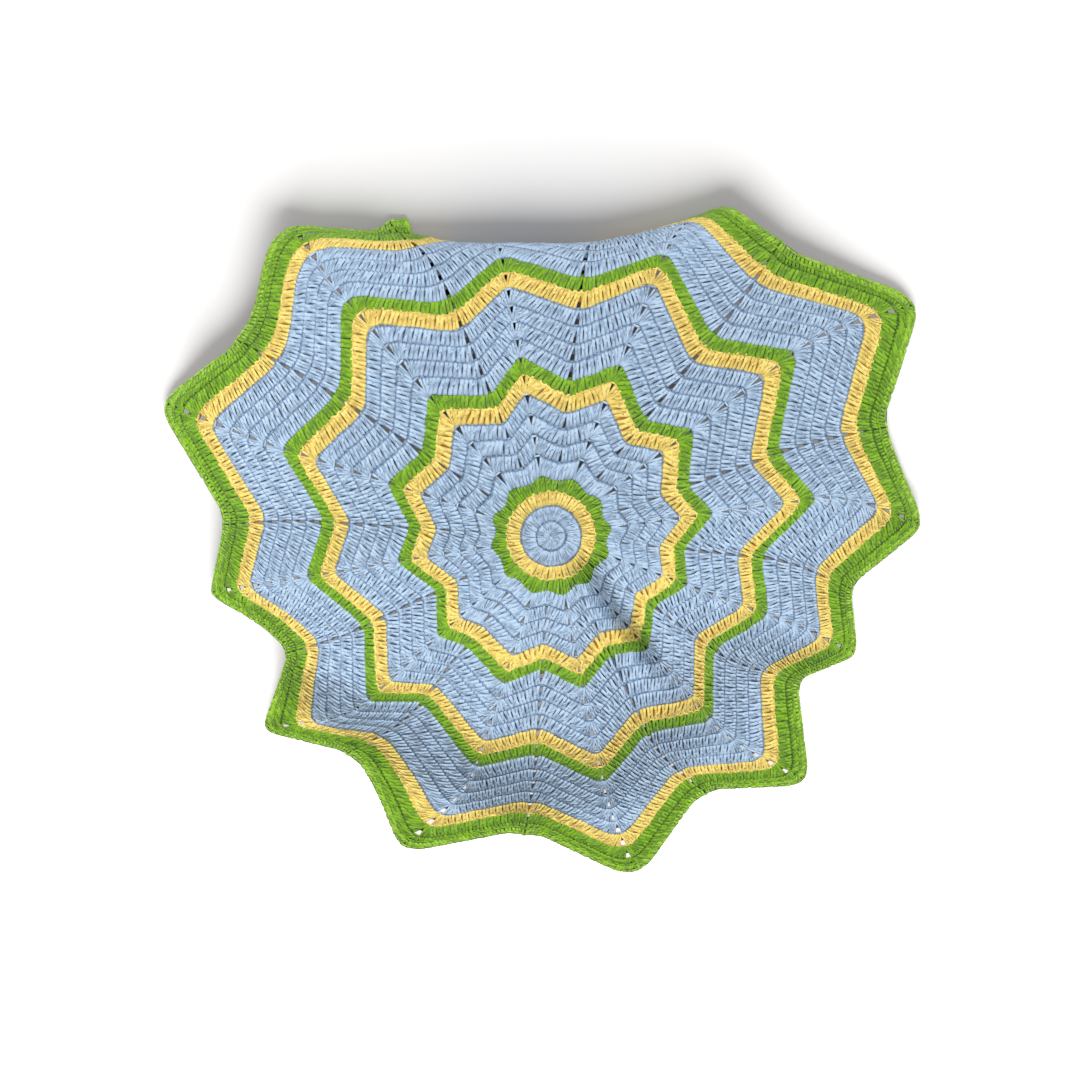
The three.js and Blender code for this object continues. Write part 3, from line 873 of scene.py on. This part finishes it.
def curveThrough(points, count):
    # a smooth line through the points, divided into count stretches
    points = np.array(points)
    ends = np.concatenate([2 * points[:1] - points[1:2], points, 2 * points[-1:] - points[-2:-1]])
    at = np.linspace(0, len(points) - 1, count + 1)
    i = np.minimum(at.astype(int), len(points) - 2)
    t = (at - i)[:, None]
    a, b, c, d = ends[i], ends[i + 1], ends[i + 2], ends[i + 3]
    return 0.5 * (2 * b + (c - a) * t + (2 * a - 5 * b + 4 * c - d) * t**2 + (3 * b - a - 3 * c + d) * t**3)


perSide = {
    "rise": 17.2,  # how much farther out the points of the flat star lie with each round, in mm
    "edgeTip": 378,  # and how far out they lie in the low rounds
    "share": 0.297,  # usual length of a side, in reaches of its point
    "innerSpare": 0.7,  # stitches more or fewer than fit on it
    "outerSpare": -0.4,
    "evenUpTo": 7,  # past this round the longer sides take more stitches
    "evenFade": 3,  # growing over this many rounds
    "uneven": 0.55,  # to this power of their length
    "fewest": 2,
}


@functools.cache
def stitchesOnSides(turn):
    # how many stitches each side of a round takes
    flatTip = lobe["tip"] + perSide["rise"] * (turn - rounds["firstLobed"])
    if turn > rounds["lastTreble"]:
        flatTip = perSide["edgeTip"]
    usual = perSide["share"] * flatTip / treble["width"]
    usual += perSide["innerSpare" if turn < rounds["firstYellow"] else "outerSpare"]
    if turn == rounds["firstLobed"]:
        usual = perSide["fewest"]
    length = sideLengths(turn)
    uneven = perSide["uneven"] * np.clip((turn - perSide["evenUpTo"]) / perSide["evenFade"], 0, 1)
    return np.maximum(perSide["fewest"], np.round(usual * (length / length.mean()) ** uneven)).astype(int)


# Room beside a spoke, in stitch widths: to the first head at a point, to the last head and foot at a valley,
# and to the first two feet at a point, which lie close together
room = {
    "point": 0.86,
    "innerPoint": 1.02,
    "openPoint": 1.15,
    "valley": 0.46,
    "valleyFoot": 0.94,
    "closeFoot": 0.8,
    "firstFeet": (0.14, 0.48),
    "firstFeetWidth": 0.7,
    "chain": 1.15,  # width of the chain that crosses a point
}
firstStarFeet = [0.1, 0.32, 0.55, 0.8]  # places on a side of the feet worked into the lobes, in spokes
middleRounds = {  # the plain rounds: places of a group's heads and feet either side of a point, in spokes
    1: ([-0.5, 0.5], [-0.5, 0.5]),
    2: ([-0.75, -0.25, 0.25, 0.75], [-0.72, -0.24, 0.24, 0.72]),
    3: ([-0.667, 0, 0.667], [-0.667, 0, 0.667]),
    4: ([-0.8, -0.4, 0, 0.4, 0.8], [-0.76, -0.38, 0, 0.38, 0.76]),
}


def roundStitches(turn):
    # for each stitch of a round: place at its foot and head, and its width at each, in spokes
    heads, feet = [], []
    if turn in middleRounds:
        head, foot = np.array(middleRounds[turn][0]), np.array(middleRounds[turn][1])
        for spoke in range(0, spokeCount, 2):
            heads.append(spoke + head)
            feet.append(spoke + foot)
        width = head[1] - head[0]
        footWidth = np.full(len(head) * spokeCount // 2, foot[1] - foot[0])
        return np.concatenate(feet), np.concatenate(heads), footWidth, np.full(len(footWidth), width)
    footWidths, headWidths = [], []
    point = room["innerPoint" if turn < rounds["firstYellow"] else "point"]
    if turn in openRounds:
        point = room["openPoint"]
    valleyFoot = room["valleyFoot" if roundColours[turn - 1] in ("blue", "yellow") else "closeFoot"]
    crowded = len(room["firstFeet"])
    for side, (own, before) in enumerate(zip(stitchesOnSides(turn), stitchesOnSides(turn - 1))):
        j = np.arange(own)
        spread = own + point + room["valley"] - 1
        spreadBefore = before + room["point"] + room["valley"] - 1
        nearest, farthest = room["point"] / spreadBefore, 1 - valleyFoot / spreadBefore
        gaps = max(1, own - crowded - 1)
        foot = nearest + (farthest - nearest) * np.maximum(0, j - crowded) / gaps
        foot[:crowded] = np.array(room["firstFeet"]) / spreadBefore
        if turn == rounds["firstLobed"] + 1:
            foot = np.array(firstStarFeet)
        footWidth = np.full(own, max(1 / spreadBefore, (farthest - nearest) / gaps))
        footWidth[:crowded] *= room["firstFeetWidth"]
        footWidths.append(footWidth)
        headWidths.append(np.full(own, 1 / spread))
        # a side is worked out from its point towards its valley, whichever comes first
        tip, away = (side, 1) if side % 2 == 0 else (side + 1, -1)
        heads.append(tip + away * (j + point) / spread)
        feet.append(tip + away * foot)
    return tuple(np.concatenate(parts) for parts in (feet, heads, footWidths, headWidths))


tubeSides = 5


def strandTubes(path, out, radius, flat, cell, stretch):
    # a tube along each path: path holds stitches, points and x, y, z
    stitches, points = path.shape[:2]
    ahead = np.gradient(path, axis=1)
    ahead /= np.maximum(np.linalg.norm(ahead, axis=-1, keepdims=True), 1e-9)
    aside = np.cross(ahead, out)
    aside /= np.maximum(np.linalg.norm(aside, axis=-1, keepdims=True), 1e-9)
    up = np.cross(aside, ahead)
    ring = []
    for corner in range(tubeSides):
        angle = corner * 2 * math.pi / tubeSides - math.pi / 2
        ring.append(path + radius[:, :, None] * (math.cos(angle) * aside + flat * math.sin(angle) * up))
    vertices = np.stack(ring, 2)  # stitches, points, corners, 3
    index = np.arange(stitches * points * tubeSides).reshape(stitches, points, tubeSides)
    nextCorner = np.roll(index, -1, 2)
    faces = np.stack([index[:, :-1], nextCorner[:, :-1], nextCorner[:, 1:], index[:, 1:]], -1)
    # the yarn's map: along the strand, and round it from underneath
    length = np.linalg.norm(np.diff(path, axis=1), axis=-1)
    along = np.concatenate([np.zeros((stitches, 1)), np.cumsum(length, 1)], 1)
    along = stretch[0] + (stretch[1] - stretch[0]) * along / along[:, -1:]
    cells, margin = yarnLook["cells"], yarnLook["cellMargin"]
    cellX, cellY = cell % cells, cell // cells

    def mapped(u, v):
        inner = 1 - 2 * margin
        mapX = cellX[:, None, None] + margin + inner * u
        mapY = cellY[:, None, None] + margin + inner * v
        return np.stack([mapX / cells, mapY / cells], -1)

    lower = np.arange(tubeSides)[None, None, :] / tubeSides + 0 * along[:, :-1, None]
    upper = lower + 1 / tubeSides
    here = along[:, :-1, None] + 0 * lower
    there = along[:, 1:, None] + 0 * lower
    corners = [(here, lower), (here, upper), (there, upper), (there, lower)]
    sideMap = np.stack([mapped(u, v) for u, v in corners], -2)
    caps, capMaps = [], []
    for end, order in ((0, slice(None, None, -1)), (-1, slice(None))):
        caps.append(index[:, end, order])
        ways = [np.full((1, 1, 1), (corner + 1) / (tubeSides + 1)) for corner in range(tubeSides)]
        capMap = [mapped(along[:, [end], None], way) for way in ways]
        capMaps.append(np.stack(capMap, -2).reshape(stitches, tubeSides, 2))
    faces, caps = faces.reshape(-1, 4), np.concatenate(caps)
    return vertices.reshape(-1, 3), faces, sideMap.reshape(-1, 4, 2), caps, np.concatenate(capMaps)


def stretched(turn, place, width):
    # how much wider or narrower a stitch lies than its usual width
    x0, y0 = laidPlace(np.full(len(place), turn), place - width / 2)
    x1, y1 = laidPlace(np.full(len(place), turn), place + width / 2)
    return np.clip(np.hypot(x1 - x0, y1 - y0) / treble["width"], *treble["fill"])


# How unlike each other the stitches are: moved up, stretched and moved across, moved out in mm, and thicker
nudges = {"up": 0.018, "stretch": 0.03, "aside": 0.018, "out": 0.12, "thick": 0.035}
freePart = (0.05, 0.9)  # the part of a strand's rise that is moved out: its ends stay in the cloth


def workStitches(kind, turn, foot, head, footWidth, headWidth):
    count = len(foot)
    draws = dice.normal(0, 1, (count, len(nudges)))
    nudge = {name: size * draws[:, i : i + 1] for i, (name, size) in enumerate(nudges.items())}
    variant = dice.integers(0, yarnLook["cells"] ** 2, count)
    fill = stretched(turn - treble["filledBelow"], (foot + head) / 2, (footWidth + headWidth) / 2)
    parts = []
    for name, points in kind["strands"].items():
        line = curveThrough(points, kind["pieces"][name])
        across, up, out = line[:, 0][None], line[:, 1][None], line[:, 2][None]
        up = up + nudge["up"] + 0 * across
        share = np.clip(up, 0, 1)
        width = footWidth[:, None] * (1 - share) + headWidth[:, None] * share
        place = foot[:, None] * (1 - share) + head[:, None] * share
        across = across * (1 + nudge["stretch"]) + nudge["aside"] + kind["lean"] * (share - 0.5)
        place = place + width * across
        height = out + nudge["out"] * (up > freePart[0]) * (up < freePart[1])
        point, normal = clothFrame(turn - 1 + up, place)
        path = point + normal * height[:, :, None]
        radius = kind["radius"] * kind["slim"].get(name, 1) * (1 + nudge["thick"]) * fill[:, None]
        radius = radius * (1 + kind["thickEnds"] * np.cos(2 * math.pi * up))
        stretch = kind["stretch"].get(name, (0.0, 1.0))
        cell = (variant + len(parts)) % yarnLook["cells"] ** 2
        parts.append(strandTubes(path, normal, radius, kind["flat"], cell, stretch))
    return parts


def workRound(turn):
    foot, head, footWidth, headWidth = roundStitches(turn)
    parts = workStitches(stitchKind(turn), turn, foot, head, footWidth, headWidth)
    if turn > rounds["firstLobed"]:
        tips = np.arange(0.0, spokeCount, 2)
        onSides = stitchesOnSides(turn)
        beside = (onSides[::2] + np.roll(onSides, 1)[::2]) / 2
        width = room["chain"] / (beside + room["point"] + room["valley"] - 1)
        parts += workStitches(chainStitch, turn, tips, tips, width, width)
    return parts


def joinParts(parts):
    offset, vertices, quads, quadMaps, caps, capMaps = 0, [], [], [], [], []
    for points, sides, sideMap, ends, endMap in parts:
        vertices.append(points)
        quads.append(sides + offset)
        quadMaps.append(sideMap)
        caps.append(ends + offset)
        capMaps.append(endMap)
        offset += len(points)
    faces = [np.concatenate(quads), np.concatenate(caps)]
    return np.concatenate(vertices), faces, [np.concatenate(quadMaps), np.concatenate(capMaps)]


bands = {
    "middleBlue": [1, 2],
    "middleYellow": [3],
    "middleGreen": [4],
    "innerBlue": [5, 6, 7, 8],
    "ringOneYellow": [9],
    "ringOneGreen": [10],
    "centralBlue": [11, 12, 13, 14],
    "ringTwoYellow": [15],
    "ringTwoGreen": [16],
    "outerBlueInside": [17, 18],
    "outerBlueOutside": [19, 20],
    "edgeYellow": [21],
    "edgeGreen": [22],
    "edgeLowGreen": [23],
    "edgeLoops": [24],
}
bandPieces = []
total = 2 * len(clothFaces)
for name, turns in bands.items():
    parts = [part for turn in turns for part in workRound(turn)]
    vertices, faces, corners = joinParts(parts)
    piece = meshPiece(name, vertices + shift, faces, yarnMaterials[roundColours[turns[0] - 1]], corners)
    bandPieces.append(piece)
    triangles = 2 * len(faces[0]) + (tubeSides - 2) * len(faces[1])
    total += triangles
    print(name, triangles, "triangles")
print("stitches worked,", total, "triangles in all")

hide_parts("blanket")

floorLook = {
    "size": 6.0,
    "below": -0.0006,
    # painted light and shade on the floor, seen by the camera alone: its glow by distance from a place behind
    # the middle, in metres, is dim through the middle's holes, pale through those near the edge, white
    # beyond, and weaker near the far edge, a painted shadow deepening the cast one
    "paintedGlowLevels": [(0.02, 0.02), (0.09, 0.04), (0.13, 0.12), (0.2, 0.24), (0.31, 0.34), (0.36, 0.62), (0.4, 0.95)],
    "paintedGlowFrom": (0.0, 0.14, 0.0),
    "narrowed": (0.85, 1.0, 0.0),  # distances across count for less
    "tint": (1.0, 0.96, 0.93),
    "shader": {"Base Color": (0.8, 0.8, 0.8, 1), "Roughness": 0.9, "Specular IOR Level": 0.0},
}
bpy.ops.object.select_all(action="DESELECT")
bpy.ops.mesh.primitive_plane_add(size=floorLook["size"], location=(0, 0, floorLook["below"]))
floor = bpy.context.object
floor.name = "paleFloor"
floorMaterial, nodes, links, shader = newMaterial("paleFloor", floorLook["shader"])
place = nodes.new("ShaderNodeTexCoord")
narrowed = vectorNode(nodes, links, "MULTIPLY", place.outputs["Object"])
narrowed.inputs[1].default_value = floorLook["narrowed"]
away = vectorNode(nodes, links, "DISTANCE", narrowed.outputs[0])
away.inputs[1].default_value = floorLook["paintedGlowFrom"]
paintedGlowRamp = nodes.new("ShaderNodeValToRGB")
stops = paintedGlowRamp.color_ramp.elements
for at, level in floorLook["paintedGlowLevels"]:
    stops.new(at).color = [level * share for share in floorLook["tint"]] + [1]
stops.remove(stops[-1])
stops.remove(stops[0])
links.new(away.outputs["Value"], paintedGlowRamp.inputs[0])
rays = nodes.new("ShaderNodeLightPath")
# painted glow: camera rays see the floor give off the ramp's colour
links.new(paintedGlowRamp.outputs[0], shader.inputs["Emission Color"])
links.new(rays.outputs["Is Camera Ray"], shader.inputs["Emission Strength"])
floor.data.materials.append(floorMaterial)

# Two soft suns, one from the far right for the blanket and one from the near side for the floor alone, whose
# shadow falls past the far edge, and a lamp over each side of the blanket. Each row says where it is, where
# it points, how strong it is, and how soft, in degrees for a sun and in metres across for a lamp.
lights = {
    "blanketSun": ("SUN", (0.34, 0.62, 1.0), (0, 0, 0), 2.2, 20),
    "floorSun": ("SUN", (0.1, -1.0, 0.5), (0, 0, 0), 6.6, 56),
    "leftLamp": ("AREA", (-0.62, 0.08, 0.62), (-0.28, 0, 0), 3.0, 0.45),
    "rightLamp": ("AREA", (0.62, -0.02, 0.66), (0.26, 0, 0), 2.0, 0.45),
}
lightColours = {"blanketSun": (1.0, 0.985, 0.96)}
for name, (kind, at, towards, strength, soft) in lights.items():
    light = bpy.data.lights.new(name, kind)
    light.energy = strength
    light.color = lightColours.get(name, (1, 1, 1))
    if kind == "SUN":
        light.angle = math.radians(soft)
    else:
        light.size = soft
    holder = bpy.data.objects.new(name, light)
    bpy.context.collection.objects.link(holder)
    holder.location = at
    holder.rotation_euler = (holder.location - Vector(towards)).to_track_quat("Z", "Y").to_euler()
    lit = bpy.data.collections.new(name + "Lights")
    for piece in [floor] if name == "floorSun" else [clothPiece, *bandPieces]:
        lit.objects.link(piece)
    holder.light_linking.receiver_collection = lit

world = bpy.data.worlds.new("studio")
bpy.context.scene.world = world
world.use_nodes = True
skyLight = 0.14  # how strongly the room lights everything; past the floor's end it is seen close to white
nodes, links = world.node_tree.nodes, world.node_tree.links
background = nodes["Background"]
background.inputs["Color"].default_value = (0.94, 0.97, 1.0, 1)
seenRay = nodes.new("ShaderNodeLightPath").outputs["Is Camera Ray"]
strength = mathNode(nodes, links, "MULTIPLY_ADD", seenRay, 1 - skyLight, skyLight)
links.new(strength, background.inputs["Strength"])

view = {"distance": 4.5, "across": 1.015, "middleX": -10.3, "middleY": -3.8, "sensor": 36}
camera = bpy.data.cameras.new("camera")
camera.lens = view["sensor"] * view["distance"] / view["across"]
camera.sensor_width = view["sensor"]
cameraHolder = bpy.data.objects.new("camera", camera)
bpy.context.collection.objects.link(cameraHolder)
middleX, middleY = (view["middleX"] + shift[0]) * mm, (view["middleY"] + shift[1]) * mm
cameraHolder.location = (middleX, middleY, view["distance"])
bpy.context.scene.camera = cameraHolder
bpy.context.scene.view_settings.view_transform = "Standard"
print("stage ready")
